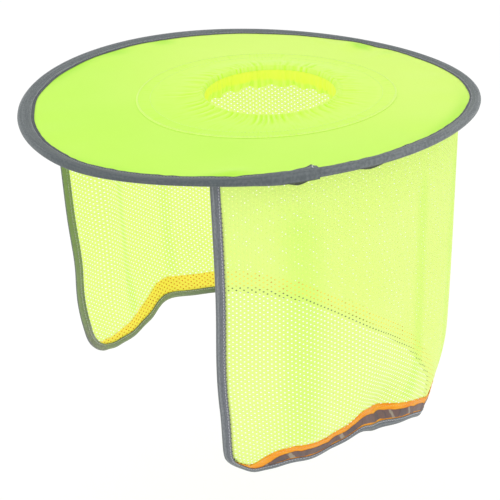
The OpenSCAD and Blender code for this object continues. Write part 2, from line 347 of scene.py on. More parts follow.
class Shader:
    """A material's nodes, made one call at a time. Colours are sockets or 8-bit triples."""

    def __init__(self, name):
        self.material = bpy.data.materials.new(name)
        self.material.use_nodes = True
        self.tree = self.material.node_tree
        self.tree.nodes.clear()
        self.cloth = self.node("UVMap", uv_map="cloth")["UV"]
        self.place = self.node("TexCoord")["Object"]

    def node(self, kind, inputs=(), **settings):
        """Adds a node and returns its outputs."""
        made = self.tree.nodes.new("ShaderNode" + kind)
        for key, value in settings.items():
            setattr(made, key, value)
        for key, value in dict(inputs).items():
            if isinstance(value, bpy.types.NodeSocket):
                self.tree.links.new(value, made.inputs[key])
            else:
                made.inputs[key].default_value = value
        return made.outputs

    def finish(self, shader):
        self.node("OutputMaterial", {"Surface": shader})
        return self.material

    def math(self, operation, a, b=0.0, c=0.0):
        return self.node("Math", {0: a, 1: b, 2: c}, operation=operation)[0]

    def weigh(self, a, share_a, b, share_b):
        return self.math("MULTIPLY_ADD", a, share_a, self.math("MULTIPLY", b, share_b))

    def wave(self, value, pitch):
        return self.math("SINE", self.math("MULTIPLY", value, TAU / pitch))

    def value(self, name):
        return self.node("Attribute", attribute_name=name)["Fac"]

    def split(self, vector):
        return self.node("SeparateXYZ", {"Vector": vector})

    def noise(self, scale, detail=2.0, at=None):
        inputs = {"Vector": at or self.place, "Scale": scale, "Detail": detail}
        return self.node("TexNoise", inputs)["Fac"]

    def streaks(self, along, across, detail=2.0):
        """Noise in the cloth's own directions, with so many waves to a metre."""
        scaled = self.node("Mapping", {"Vector": self.cloth, "Scale": (along, across, 1.0)})
        return self.noise(1.0, detail, scaled[0])

    def range(self, value, low, high, to_low=0.0, to_high=1.0):
        inputs = {0: value, 1: low, 2: high, 3: to_low, 4: to_high}
        return self.node("MapRange", inputs, interpolation_type="SMOOTHSTEP")[0]

    def mix(self, share, a, b):
        a, b = (srgb(*shade) if isinstance(shade, tuple) else shade for shade in (a, b))
        return self.node("Mix", {0: share, 6: a, 7: b}, data_type="RGBA")[2]

    def tint(self, colour, shade, value, low, high, most):
        """The colour, with a share of shade that grows to most as value goes from low to high."""
        return self.mix(self.range(value, low, high, 0.0, most), colour, shade)

    def threads(self, pitch_u, pitch_v):
        """Height of a plain weave, whose threads cross at these pitches."""
        u, v, _ = self.split(self.cloth)
        crossing = self.math("MULTIPLY", self.wave(u, pitch_u), self.wave(v, pitch_v))
        return self.math("MULTIPLY_ADD", crossing, 0.5, 0.5)

    def bump(self, height, strength, distance, under=None):
        inputs = {"Height": height, "Strength": strength, "Distance": distance}
        if under:
            inputs["Normal"] = under
        return self.node("Bump", inputs)["Normal"]

    def woven(self, height, strength, distance):
        """The brim cloth's weave, with a coarser relief on it."""
        weave = self.threads(0.0007, 0.0007)
        return self.bump(height, strength, distance, self.bump(weave, 0.12, 0.0002))

    def surface(self, colour, roughness, normal, sheen=0.0, through=0.0, metallic=0.0,
                hole=None, glow=0.0):
        inputs = {
            "Base Color": colour,
            "Roughness": roughness,
            "Normal": normal,
            "Sheen Weight": sheen,
            "Sheen Roughness": 0.4,
            "Metallic": metallic,
            "Specular IOR Level": 0.5 if metallic else 0.25,
        }
        if glow:
            inputs.update({"Emission Color": colour, "Emission Strength": glow})
        shader = self.node("BsdfPrincipled", inputs)[0]
        if through:
            behind = self.node("BsdfTranslucent", {"Color": colour})[0]
            shader = self.node("MixShader", {0: through, 1: shader, 2: behind})[0]
        if hole:
            clear = self.node("BsdfTransparent")[0]
            shader = self.node("MixShader", {0: hole, 1: shader, 2: clear})[0]
        return self.finish(shader)


# LIME_FRONT and LIME_BACK_LIT are one cloth: the lighter, yellower back is painted light
LIME_FRONT = (202, 249, 90)
LIME_BACK_LIT = (219, 250, 111)
LIME_PAINTED_SHADE = (178, 240, 62)
LIME_PALE = (228, 251, 138)
LIME_VALLEY_SHADE = (200, 250, 34)
MESH_FOLD_SHADE = (214, 250, 112)
LIME_THROUGH = 0.12
MESH_THROUGH = 0.45
# painted glow: light that the cloth gives out on top of what it reflects, for its fluorescent dyes
# and to lighten it in shade
PAINTED_DYE_GLOW = 0.1
BRIM_GLOW = 0.03
CROWN_GLOW = 0.055
MESH_PERIOD = (0.0063, 0.0041)
MESH_HOLE = (0.00078, 0.00059)


def lime_cloth_painted_light(s):
    """The cloth's colour, with painted light: lighter and yellower to the back and -X, and round
    the crown.
    """
    x, y, _ = s.split(s.place)
    back = s.math("MULTIPLY_ADD", x, -0.35, y)
    radius = s.node("VectorMath", {0: s.place}, operation="LENGTH")["Value"]
    inward = s.math("MAXIMUM", s.math("SUBTRACT", 0.17, radius), 0.0)
    back = s.math("MULTIPLY_ADD", inward, 1.1, back)
    return s.mix(s.range(back, -0.12, 0.17), LIME_FRONT, LIME_BACK_LIT)


def make_brim_cloth():
    s = Shader("brim_cloth")
    colour = s.tint(lime_cloth_painted_light(s), LIME_PALE, s.noise(9.0, 1.0), 0.35, 0.7, 0.12)
    # painted shade along the tape and in the brim's creases
    colour = s.tint(colour, LIME_PAINTED_SHADE, s.value("shade"), 0.0, 1.0, 0.75)
    normal = s.woven(s.noise(45.0), 0.15, 0.002)
    return s.surface(colour, 0.75, normal, sheen=0.15, through=LIME_THROUGH, glow=BRIM_GLOW)


def make_crown_cloth():
    s = Shader("crown_cloth")
    fold = s.value("fold")
    fine = s.streaks(700.0, 60.0, 3.0)
    # painted shade in the pleats' valleys and fine wrinkles, and painted highlight on the ridges
    # and on the pale lines along the lap's edge and the gather line
    colour = s.tint(lime_cloth_painted_light(s), LIME_VALLEY_SHADE, fold, 0.2, -0.9, 0.75)
    colour = s.tint(colour, LIME_PALE, fold, 0.3, 1.2, 0.8)
    colour = s.tint(colour, LIME_VALLEY_SHADE, fine, 0.5, 0.7, 0.4)
    normal = s.woven(fine, 0.25, 0.001)
    return s.surface(colour, 0.7, normal, sheen=0.15, through=LIME_THROUGH, glow=CROWN_GLOW)


def make_casing_cloth():
    s = Shader("casing_cloth")
    height = s.split(s.cloth)[1]
    ragged = s.math("MULTIPLY_ADD", s.noise(38.0, 3.0), 0.012, s.math("ADD", height, -0.006))
    # the yellow band is painted light and shade of the inner wall; it reaches lower on one side
    x, y, _ = s.split(s.place)
    side = s.range(s.weigh(y, 0.866, x, 0.5), 0.0, 0.05)
    ragged = s.math("MULTIPLY_ADD", side, 0.0025, ragged)
    # painted light and shade: the yellow band up the inner wall, and the ruffle paler on its tucks
    band = s.tint((234, 251, 84), (244, 245, 84), s.noise(35.0, 1.0), 0.45, 0.7, 0.6)
    ruffle = s.tint((217, 251, 88), (227, 252, 112), s.value("fold"), -0.9, 0.9, 1.0)
    colour = s.tint(band, ruffle, ragged, 0.0088, 0.0046, 1.0)
    colour = s.tint(colour, LIME_FRONT, height, 0.0175, 0.0185, 1.0)
    normal = s.woven(s.streaks(900.0, 80.0, 3.0), 0.4, 0.001)
    return s.surface(colour, 0.7, normal, sheen=0.15, through=LIME_THROUGH, glow=PAINTED_DYE_GLOW)


def make_mesh_cloth(name, light, deep, far, through):
    """Knitted mesh with staggered holes, painted greener along its folds as shade. Its -X side
    takes the colour far, which is painted light.
    """
    s = Shader(name)
    place = s.split(s.cloth)

    def hole_distance(shift):
        total = []
        for value, period, half in zip(place, MESH_PERIOD, MESH_HOLE):
            turns = s.math("MULTIPLY_ADD", value, 1 / period, shift)
            off = s.math("SUBTRACT", s.math("FRACT", turns), 0.5)
            size = s.math("ABSOLUTE", s.math("MULTIPLY", off, period / half))
            total.append(s.math("POWER", size, 2.0))
        return s.math("ADD", *total)

    distance = s.math("MINIMUM", hole_distance(0.0), hole_distance(0.5))
    hole = s.range(distance, 0.6, 1.4, 0.95, 0.0)
    colour = s.tint(deep, light, s.noise(11.0, 1.0), 0.35, 0.7, 0.5)
    x, y, _ = s.split(s.place)
    colour = s.tint(colour, far, s.weigh(x, -0.87, y, 0.5), -0.12, 0.14, 0.6)
    colour = s.tint(colour, MESH_FOLD_SHADE, s.value("fold"), 0.2, 1.0, 0.6)
    knit = s.bump(s.threads(0.0009, 0.0006), 0.15, 0.0002)
    normal = s.bump(s.range(distance, 1.0, 3.5), 0.3, 0.0004, knit)
    return s.surface(colour, 0.65, normal, sheen=0.1, through=through, hole=hole, glow=PAINTED_DYE_GLOW)


def make_tape(name, light, dark, bands, inside=None):
    """Grey woven binding tape with cross ribs. bands are (from, to, softness, share, colour),
    places across the tape in mm; inside is the greener painted shade that the leaf inside the flap
    takes near the brim, and its far corner's tip is in the light."""
    s = Shader(name)
    along, across, _ = s.split(s.cloth)
    fuzz = s.streaks(420.0, 900.0, 3.0)
    share = s.range(s.weigh(fuzz, 0.6, s.streaks(25.0, 900.0), 0.4), 0.38, 0.62)
    colour = s.mix(share, dark, light)
    wander = s.streaks(60.0, 1.0)
    ragged = s.math("MULTIPLY_ADD", wander, 0.0012, s.math("ADD", across, -0.0006))
    for start, end, soft, strength, shade in bands:
        past_start = s.range(ragged, (start - soft) * MM, (start + soft) * MM, 0.0, strength)
        before_end = s.range(ragged, (end - soft) * MM, (end + soft) * MM, 1.0, 0.0)
        colour = s.mix(s.math("MULTIPLY", past_start, before_end), colour, shade)
    # painted shade: the hoop's tape round the front, and the inner leaf at the back of the flap
    colour = s.tint(colour, (62, 72, 76), s.value("shade"), 0.0, 1.0, 0.6)
    # painted shadow where the tape's lower leaf hangs away
    colour = s.tint(colour, (48, 55, 34), s.value("gap_shadow"), 0.0, 1.0, 0.9)
    if inside:
        colour = s.mix(s.range(s.value("drop"), 150.0, 262.0, 1.0, 0.25), colour, inside)
        lit = s.mix(share, (128, 130, 128), (158, 159, 156))
        colour = s.tint(colour, lit, s.value("tip"), 0.2, 0.7, 0.9)
    ribs = s.weigh(s.wave(along, 0.0011), 0.5, s.wave(across, 0.0016), 0.5)
    normal = s.bump(fuzz, 0.3, 0.0004, s.bump(ribs, 0.35, 0.0003))
    return s.surface(colour, 0.8, normal, sheen=0.2)


def make_orange_tape():
    s = Shader("orange_tape")
    colour = s.tint((248, 146, 12), (253, 176, 46), s.streaks(40.0, 700.0), 0.35, 0.65, 1.0)
    normal = s.bump(s.threads(0.0009, 0.0006), 0.3, 0.0003)
    return s.surface(colour, 0.65, normal, sheen=0.15)


def make_reflective():
    s = Shader("reflective_film")
    fold = s.value("fold")
    speck = s.streaks(2500.0, 2500.0)
    crease = s.streaks(260.0, 25.0)
    # painted light and shade: the wrinkles' facets lighter and darker, and darker along the creases
    colour = s.tint((112, 88, 82), (156, 144, 128), fold, 0.85, 1.05, 1.0)
    colour = s.tint(colour, (98, 82, 82), fold, -0.4, -0.6, 1.0)
    colour = s.tint(colour, (86, 70, 72), crease, 0.58, 0.66, 0.6)
    colour = s.tint(colour, (176, 168, 160), speck, 0.6, 0.75, 0.2)
    normal = s.bump(crease, 0.4, 0.0005, s.bump(speck, 0.2, 0.0002))
    return s.surface(colour, 0.5, normal, metallic=0.2)


def make_thread(name, colour, groove):
    """Twisted thread, whose grooves have a second colour."""
    s = Shader(name)
    twist = s.noise(2600.0, 1.0)
    tone = s.tint(colour, groove, twist, 0.35, 0.65, 0.4)
    return s.surface(tone, 0.6, s.bump(twist, 0.4, 0.0002), sheen=0.2)


def make_grained(name, scale, dark, light, roughness, strength, distance, **finish):
    """Two shades in a fine noise, which is the relief too."""
    s = Shader(name)
    grain = s.noise(scale)
    normal = s.bump(grain, strength, distance)
    return s.surface(s.mix(grain, dark, light), roughness, normal, **finish)


brim_material = make_brim_cloth()
crown_material = make_crown_cloth()
casing_material = make_casing_cloth()
mesh_material = make_mesh_cloth(
    "mesh_cloth", (240, 252, 165), (235, 251, 150), (237, 252, 138), MESH_THROUGH
)
mesh_over_hem = make_mesh_cloth(
    "mesh_over_hem", (255, 236, 104), (255, 226, 80), (255, 231, 92), 0.0
)
# across the tape: darker along the upper leaf's inner edge, darker streaks, painted shade along the
# bead's crest (16.9 to 18.8) and a painted highlight over the bead's outer face (6.0 to 16.3)
hoop_tape_material = make_tape("hoop_tape", (128, 134, 135), (90, 97, 99), [
    (25.5, 28.2, 0.3, 0.85, (64, 69, 74)),
    (22.6, 23.4, 0.3, 0.5, (72, 78, 83)),
    (19.5, 22.5, 0.8, 0.4, (84, 90, 95)),
    (16.9, 18.8, 0.5, 0.25, (72, 78, 82)),
    (6.0, 16.3, 0.8, 0.3, (142, 147, 149)),
])
# across the tape: the darker band from 9.4 to 11.4 mm is painted shade in the outer leaf's crease
flap_tape_material = make_tape("flap_tape", (146, 151, 153), (116, 120, 124), [
    (-1, 7.9, 0.3, 0.6, (104, 108, 111)),
    (9.4, 11.4, 1.2, 0.6, (92, 96, 104)),
    (11.4, 14.2, 0.2, 0.7, (112, 114, 122)),
])
# the leaf inside the flap: a greener grey than the outside, painted shade and green light thrown by
# the lime cloth, deepest near the brim
tape_inside_shaded = make_tape("flap_tape_inside_shaded", (148, 156, 142), (120, 128, 114), [
    (-1, 1.1, 0.3, 0.6, (100, 108, 94)),
    (4.0, 5.4, 0.3, 0.5, (158, 164, 152)),
], inside=(134, 150, 116))
orange_material = make_orange_tape()
reflective_material = make_reflective()
lime_thread = make_thread("lime_thread", (230, 252, 162), (190, 236, 96))
grey_thread = make_thread("grey_thread", (160, 160, 166), (140, 140, 144))
pale_thread = make_thread("pale_thread", (200, 202, 208), (150, 150, 150))
orange_thread = make_thread("orange_thread", (250, 200, 130), (220, 150, 90))
white_thread = make_thread("white_thread", (232, 234, 232), (190, 190, 190))
elastic_material = make_grained(
    "elastic", 1800.0, (222, 222, 214), (244, 244, 238), 0.8, 0.4, 0.0004, sheen=0.2
)
steel_material = make_grained(
    "spring_steel", 900.0, (150, 152, 156), (190, 192, 196), 0.35, 0.1, 0.0002, metallic=1.0
)


# ---- the brim ----

def saddle(x, y):
    """Height of the brim's surface, as the hoop holds it."""
    v = y + SETBACK
    a = np.arctan2(v, x)
    edge = HOOP_TWIST * np.cos(2 * (a - TWIST_TURN)) - ring_hills(a, HOOP_SAGS)
    return edge * (x * x + v * v) / BRIM_R**2


def slack(r, a):
    """Small waves of the brim cloth inside the binding."""
    held = smooth((BRIM_R - BRIM_TAPE_W + 5 - r) / 14) * smooth((r - LAP_R) / 30)
    waves = 0.35 * ripple(a, (7, 11, 17, 23), 3) * smooth((r - 130) / 50)
    fan = 0.1 * (PUCKER_R - r)
    pucker = 4.0 * near_angle(a, 117 - fan, 3.2) - 1.6 * near_angle(a, 110 - 2 * fan, 1.8)
    crease = near_angle(a, 126 - 3 * fan, 1.6) + 0.8 * near_angle(a, 102 + fan, 1.6)
    bulge = 2.2 * near_angle(a, 325, 4) * bump(r, 184, 9)
    return held * (waves + (pucker + crease) * bump(r, PUCKER_R, 14) + bulge)


def brim_surface(t, a):
    """t runs from the hoop to the inner edge under the crown's lap."""
    ring = lerp(BRIM_EDGE_R, GATHER_R, t)
    x, y = ring * np.cos(a), ring * np.sin(a) - SETBACK * (1 - t)
    return stack(x, y, saddle(x, y) + slack(np.hypot(x, y + SETBACK), a))


def make_brim():
    a = np.linspace(0, TAU, 301)[None, :]
    t = np.concatenate([np.linspace(0, 0.3, 16), np.linspace(0.3, 1, 15)[1:]])[:, None]
    middle = brim_surface(t, a)
    r = np.hypot(middle[..., 0], middle[..., 1] + SETBACK)
    # painted shade on the cloth along the tape and in its creases
    shade = ring_hills(a, BRIM_PAINTED_SHADES) * bump(r, 188, 10)
    shade = shade + ring_hills(a, BRIM_CREASE_SHADOWS) * bump(r, 182, 10)
    piece = add_cloth(
        "brim_cloth", middle + HALF_CLOTH, middle - HALF_CLOTH, middle[..., :2], brim_material,
        {"shade": shade}, ring=True,
    )
    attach(piece, "root")
    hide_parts("brim_panel")


# ---- the gathered crown ----

def gathers(r, a):
    """Height of the pleats round the opening, before scaling: about -1 to 1."""
    t = np.clip((GATHER_R - r) / GATHER_W, 0, 1)
    wander = 3.2 * ripple(a, (2, 3, 5), 11)
    main = np.sin(PLEATS * a + wander + 0.8 * np.sin(3 * t + 5 * a))
    ridge = 1 - 1.6 * np.abs(main) ** 1.6
    uneven = 0.7 + 0.45 * ripple(a, (7, 12, 17), 14)
    reach = 0.6 + 0.4 * ripple(a, (9, 14, 21), 12)
    start = smooth((t - 0.5 + 0.5 * reach) / 0.55)
    fine = ripple(a + 0.03 * t, (53, 71, 89), 13) * smooth((t - 0.3) / 0.5)
    return start * (0.8 * ridge * uneven + 0.4 * fine)


def drift(points):
    """Move points with the slack opening, which sits off its centre and tips."""
    x, y, z = np.moveaxis(points, -1, 0)
    share = smooth((GATHER_R - 2 - np.hypot(x, y)) / (GATHER_W - 8))
    back = x * math.cos(RIM_TILT_TURN) + y * math.sin(RIM_TILT_TURN)
    return stack(x + RIM_SHIFT[0] * share, y + RIM_SHIFT[1] * share, z + RIM_TILT * back * share)


def crown_surface(r, a):
    x, y = r * np.cos(a), r * np.sin(a)
    t = np.clip((GATHER_R - r) / GATHER_W, 0, 1)
    hold = np.clip((r - RIM_R) / GATHER_W, 0, 1)
    rise = lerp(CLOTH_T + LAY_GAP, CROWN_RISE, smooth(t))
    near_rim = 1 - 0.7 * smooth((RIM_R + 2 - r) / 3)
    rise = rise + PLEAT_H * t**0.8 * gathers(r, a) * near_rim
    lip = 0.25 * (bump(r, LAP_STITCH_R, 0.9) - smooth((r - LAP_STITCH_R) / LAP_STITCH_W))
    over_rim = 1.5 * smooth((RIM_R + 2.5 - r) / 3)
    turn_in = 3.6 * np.clip((OPENING_R + 1.6 - r) / 2.2, 0, 1) ** 2
    return drift(stack(x, y, saddle(x, y) * hold + rise + lip + over_rim - turn_in))


def make_crown():
    a = np.linspace(0, TAU, 769)[None, :]
    r = np.concatenate([
        LAP_R - np.array([0, 0.6, 1.4, 3, 7]),
        np.linspace(GATHER_R + 2, RIM_R + 2, 22),
        RIM_R + np.array([1.2, 0.4, -0.4, -1.2, -1.9, -2.5, -3.0, -3.4]),
    ])[:, None]
    uv = stack(a * CROWN_UV_R, r)
    middle = crown_surface(r, a)
    # painted highlight: pale lines along the lap's edge and inside the gather stitches
    highlight_lines = 1.1 * bump(r, LAP_R - 0.7, 1.1) + 0.7 * bump(r, GATHER_R - 1, 0.9)
    fold = gathers(r, a) * np.clip((GATHER_R - r) / 12, 0, 1) + highlight_lines
    piece = add_cloth(
        "crown_cloth", middle + HALF_CLOTH, middle - HALF_CLOTH, uv, crown_material,
        {"fold": fold}, ring=True,
    )
    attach(piece, "root")
    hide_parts("crown_panel")


# ---- elastic channel with its frill ----

def casing_profile():
    """(radius, height) of the cloth's middle: up the inside, over the top, and down again."""
    low = CASING_TOP - CASING_H
    inner, outer = OPENING_R + CLOTH_T / 2, CASING_OUT_R - CLOTH_T / 2
    middle, half = (inner + outer) / 2, (outer - inner) / 2
    frill = [(inner + 0.1, low - FRILL_H * s) for s in FRILL_ROWS]
    wall = [(inner, lerp(low, CASING_TOP - half, s)) for s in np.linspace(0.04, 1, WALL_ROWS)]
    top = [
        (middle - half * math.cos(b), CASING_TOP - half - CLOTH_T / 2 + half * math.sin(b))
        for b in np.linspace(0.5, math.pi - 0.5, 4)
    ]
    back = [(outer, lerp(CASING_TOP - half, low, s)) for s in np.linspace(0.1, 0.95, 6)]
    return np.array(frill + wall + top + back + [(middle + 0.3, low + CLOTH_T)])


def make_casing():
    profile = casing_profile()
    run = run_along(profile)
    a = np.linspace(0, TAU, 541)[None, :]
    r, z = profile[:, :1], profile[:, 1:]
    low = CASING_TOP - CASING_H
    in_frill = smooth((low - z) / FRILL_H)
    front = (np.arange(len(profile)) < len(FRILL_ROWS) + WALL_ROWS)[:, None]
    scallop = (1 - np.cos(SCALLOPS * a + 0.6 * ripple(a, (2, 3), 22))) / 2
    tucks = ripple(a, (41, 57, 68), 21)
    tucked = -0.7 * (1 + np.clip(tucks, -1, 1)) * smooth((CASING_TOP - 1 - z) / 5) * front
    r = r + tucked + in_frill * (SCALLOP_H * scallop + 0.7 * ripple(a, (36, 47), 23))
    middle = drift(round_at(r, a, z + in_frill * SCALLOP_H * scallop))
    slope = np.gradient(profile, axis=0)
    side = unit(stack(slope[:, 1], -slope[:, 0]))
    half = round_at(side[:, :1], a, side[:, 1:]) * CLOTH_T / 2
    uv = stack(a * OPENING_R, run[:, None])
    piece = add_cloth(
        "crown_casing_cloth", middle + half, middle - half, uv, casing_material,
        {"fold": tucks}, ring=True,
    )
    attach(piece, "root")
    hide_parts("crown_casing")


def make_elastic_band():
    """The elastic inside the channel, which moves with it."""
    a = np.linspace(0, TAU, 181)[None, :]
    height = CASING_TOP - CASING_H / 2 + np.linspace(-ELASTIC_W / 2, ELASTIC_W / 2, 5)[:, None]
    r = (OPENING_R + CASING_OUT_R) / 2
    top, bottom = (drift(round_at(r + off, a, height)) for off in (ELASTIC_T / 2, -ELASTIC_T / 2))
    uv = stack(a * r, height)
    piece = add_cloth("crown_elastic_band", top, bottom, uv, elastic_material, ring=True)
    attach(piece, "root")
    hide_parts("crown_elastic")


# ---- binding tape round the hoop ----

def tape_profile(share):
    """Round the fold, from the lower leaf's edge (0) to the upper leaf's edge (1): (distance in
    from the hoop's outside round the bead, share of the leaf's width past it, height)."""
    side = np.abs(share * 2 - 1)
    leaf = np.clip((side - BEAD_SHARE) / (1 - BEAD_SHARE), 0, 1)
    arc = np.clip(side / BEAD_SHARE, 0, 1) * math.pi / 2
    at_bead = lerp(TAPE_T, BEAD_W, 1 - np.cos(arc))
    height = (STRIP_H / 2 + HOOP_GAP) * np.sin(arc) ** 0.6
    height = lerp(height, LAID, smooth(leaf * 1.15) * 0.55 + leaf * 0.45)
    return at_bead, leaf, np.sign(share - 0.5) * height


def hoop_point(r, a, h):
    x, y = r * np.cos(a), r * np.sin(a) - SETBACK
    return stack(x, y, saddle(x, y) + h)


def hoop_tape_surface(share, a, grow, after):
    """A point of the tape. after is the angle past one full turn, where it laps its start."""
    at_bead, leaf, height = tape_profile(share)
    upper = share > 0.5
    side, height = np.sign(height), np.abs(height)
    off_fold = np.clip(height / 1.6, 0, 1)
    lift = grow + (TAPE_T + 2 * LAY_GAP) * np.clip(after / LAP_CLIMB + 1, 0, 1)
    width = BRIM_TAPE_W + 0.45 * ripple(a, (5, 9, 14, 22), 31) + ring_hills(a, TAPE_WIDTHS)
    width = width + LAP_FLARE * np.clip(after / LAP_SPAN, 0, 1) ** 3 * upper
    depth = at_bead + leaf * (width - BEAD_W)
    stitch = -0.22 * bump(depth, width - 2.4, 0.7) * upper
    crimp = 0.16 * ripple(a, (61, 83, 107), 33) * leaf
    sag = ring_hills(a, LEAF_SAGS) * bump(leaf, 0.5, 0.35) * smooth(leaf * 5)
    sag = sag + ring_hills(a, FOLD_SLACKS) * off_fold
    # the upper leaf still goes over the hoop, which keeps its even curve
    over_hoop = ring_hills(a, HOOP_SAGS) * np.clip((height - LAID) / 1.1, 0, 1)
    level = height + lift * off_fold + stitch + crimp + np.where(upper, over_hoop, sag)
    r = BRIM_R - depth + lift * smooth(1 - leaf * 6) * (1 - height / 3)
    return hoop_point(r, a, side * level + slack(r, a))


def make_hoop_tape():
    turn = np.concatenate([
        np.linspace(0, TAU - 0.1, 380, endpoint=False),
        np.linspace(TAU - 0.1, TAU + LAP_SPAN, 60),
    ])[None, :]
    share = np.concatenate([
        np.linspace(0, 0.36, 9), np.linspace(0.39, 0.61, 9), np.linspace(0.64, 1, 13),
    ])[:, None]
    a = LAP_END - LAP_SPAN + turn
    outside, inside = (hoop_tape_surface(share, a, grow, turn - TAU) for grow in (TAPE_T, 0.0))
    uv = stack(a * BRIM_R, share * 2 * BRIM_TAPE_W)
    # painted shade: the tape is darker round the front
    shade = near_angle(a, 303, 55) * (share > 0.3)
    # painted shadow under the rim where the lower leaf hangs away from the brim
    gap_shadow = np.clip(ring_hills(a, LEAF_SAGS) / 2, 0, 1) * smooth((0.48 - share) / 0.04)
    piece = add_cloth(
        "hoop_binding_tape", outside, inside, uv, hoop_tape_material,
        {"shade": shade, "gap_shadow": gap_shadow},
    )
    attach(piece, "root")
    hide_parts("hoop_binding")


# ---- the mesh flap ----

def flap_turn(s):
    return np.degrees(s / FLAP_R)


def hem_depth(s):
    """How far down the hem is, s round the seam from the back."""
    phi = flap_turn(s)
    side = np.abs(phi)
    back = (REAR_DROP - SIDE_DROP) * smooth((REAR_END - side) / (REAR_END - REAR_FLAT))
    front = (FRONT_DROP - SIDE_DROP) * smooth((side - FRONT_START) / (FRONT_END - FRONT_START))
    return SIDE_DROP + back + front + HEM_SKEW * np.sin(s / FLAP_R) + hills(phi, HEM_WAVES)


def hang(s, d):
    """Outward push of the flap's folds and soft waves."""
    phi = flap_turn(s)
    share = d / hem_depth(s)
    up = hem_depth(s) - d
    fold = np.max([bump(np.abs(phi), turn, FOLD_W) for turn in FOLD_TURNS], axis=0)
    fold = FOLD_DEPTH * fold * (1 - bump(phi, 110, 14)) * share
    waves = 0.9 * ripple(s / FLAP_R, (9, 14, 19), 41) * smooth(share)
    dent = hills(phi, FAR_DENTS) * smooth(d / 85) * smooth((up - 12) / 60)
    drawn = np.minimum(np.clip(up / ORANGE_W, 0, 1), smooth((ORANGE_W + 45 - up) / 45))
    lean = hills(phi, HEM_LEANS) * drawn
    curl = hills(phi, SIDE_CURLS) * share**4
    bow = (
        FAR_EDGE_BOW * smooth((phi - 105) / 25) * bump(share, 0.12, 0.12)
        - FAR_EDGE_DIP * smooth((phi - 110) / 15) * bump(share, 0.66, 0.13)
        + FAR_EDGE_FLARE * smooth((phi - 125) / 6)
    )
    return fold + waves + bow - lean - curl - dent


def straightness(s):
    """1 where the flap hangs straight down, and 0 where it narrows and curls."""
    phi = flap_turn(s)
    (start, run), (end, run_out) = STRAIGHT_BACK
    return smooth((phi - start) / run) * smooth((end - phi) / run_out)


def flap_surface(s, d):
    """The middle of the hanging mesh, s round the seam from the back and d down."""
    hem = hem_depth(s)
    near_edge = smooth((-flap_turn(s) - 100) / 30) * bump(d / hem, 0.66, 0.2)
    a = FLAP_TURN + (s + EDGE_SLIP * near_edge) / FLAP_R
    c = np.clip((d - hem + CURL_H) / CURL_H, 0, 1.3)
    inward = (TAPER * d + HEM_CURL * c * c) * (1 - 0.95 * straightness(s))
    r = FLAP_R - inward + hang(s, d)
    seam = saddle(FLAP_R * np.cos(a), FLAP_R * np.sin(a) - SETBACK)
    return stack(r * np.cos(a), r * np.sin(a) - SETBACK, (1 - d / hem) * seam - d)


def flap_out(s, d, step=0.4):
    """Outward normal of the flap; (along s) x (up) points out."""
    along = flap_surface(s + step, d) - flap_surface(s - step, d)
    up = flap_surface(s, d - step) - flap_surface(s, d + step)
    return unit(np.cross(along, up))


def flap_at(s, d, off):
    s, d, off = np.broadcast_arrays(s, d, off)
    return flap_surface(s, d) + flap_out(s, d) * off[..., None]


def corner_line(side):
    """The rounded front corner, from the front edge to the hem: s, d, inward s and d, and the
    share of the way."""
    b = np.linspace(0, math.pi / 2, 12, endpoint=False)
    s = side * (HALF_ARC - CORNER_R[side] * (1 - np.cos(b)))
    d = hem_depth(s) - CORNER_R[side] * (1 - np.sin(b))
    return stack(s, d, -side * np.cos(b), -np.sin(b), b / (math.pi / 2))


def hem_line():
    s = np.linspace(CORNER_R[-1] - HALF_ARC, HALF_ARC - CORNER_R[1], 260)
    hem = stack(s, hem_depth(s), 0, -1, 1)
    return np.concatenate([corner_line(-1), hem, corner_line(1)[::-1]])


def edge_line():
    """Down one front edge, along the hem and up the other."""
    def front(side):
        s = side * HALF_ARC
        end = hem_depth(s) - CORNER_R[side]
        return stack(s, np.linspace(FLANGE_LOW + LAY_GAP, end, 61)[:-1], -side, 0, 0)
    return np.concatenate([front(-1), hem_line(), front(1)[::-1]])


def tape_share(s, narrow):
    """How much of its full width a hem tape has at s."""
    start, share, run = (np.where(s < 0, *pair) for pair in zip(narrow[-1], narrow[1]))
    return lerp(share, 1, smooth((HALF_ARC - np.abs(s) - start) / run))


def make_flap():
    s, hem = hem_line()[:, :2].T
    tape_top = hem - ORANGE_W * tape_share(s, ORANGE_NARROW)
    in_tape = np.linspace(0, 1, 10)[:, None]
    above = np.linspace(0, 1, 44)[1:, None]
    d = np.concatenate([lerp(hem, tape_top, in_tape), lerp(tape_top, FLANGE_LOW, above)])
    s, d = np.broadcast_arrays(s, d)
    outs = np.array([0.5, 1.2, ALLOWANCE_W])[:, None]
    allowance = hoop_point(FLAP_R + outs, FLAP_TURN + s[:1] / FLAP_R, -LAID - MESH_T / 2)
    middle = np.concatenate([flap_surface(s, d), allowance])
    s = np.concatenate([s, np.repeat(s[:1], len(outs), 0)])
    d = np.concatenate([d, FLANGE_LOW - np.repeat(outs, s.shape[1], 1)])
    pulled = np.maximum(s - HALF_ARC + FAR_PULL_W, 0)
    uv = stack(s - FAR_STRETCH * pulled, d + FAR_SKEW * pulled)
    # painted shade: the mesh is greener along these folds
    fold = hills(flap_turn(s), FOLD_PAINTED_SHADES) * smooth(d / 60)
    fold[: len(in_tape)] = 0
    rows, cols = s.shape
    over_hem = np.zeros((rows - 1, cols - 1), np.int32)
    over_hem[: len(in_tape) - 1, ORANGE_SKIP : -ORANGE_SKIP] = 1
    faces, corners = grid_faces(rows, cols, cols - 1)
    piece = add_mesh(
        "flap_mesh_cloth", middle.reshape(-1, 3), faces, [mesh_material, mesh_over_hem],
        np.stack([uv[corner] for corner in corners], 1), {"fold": fold}, over_hem.ravel(),
    )
    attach(piece, "root")
    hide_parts("flap_mesh")


# ---- binding tape round the flap's free edges ----

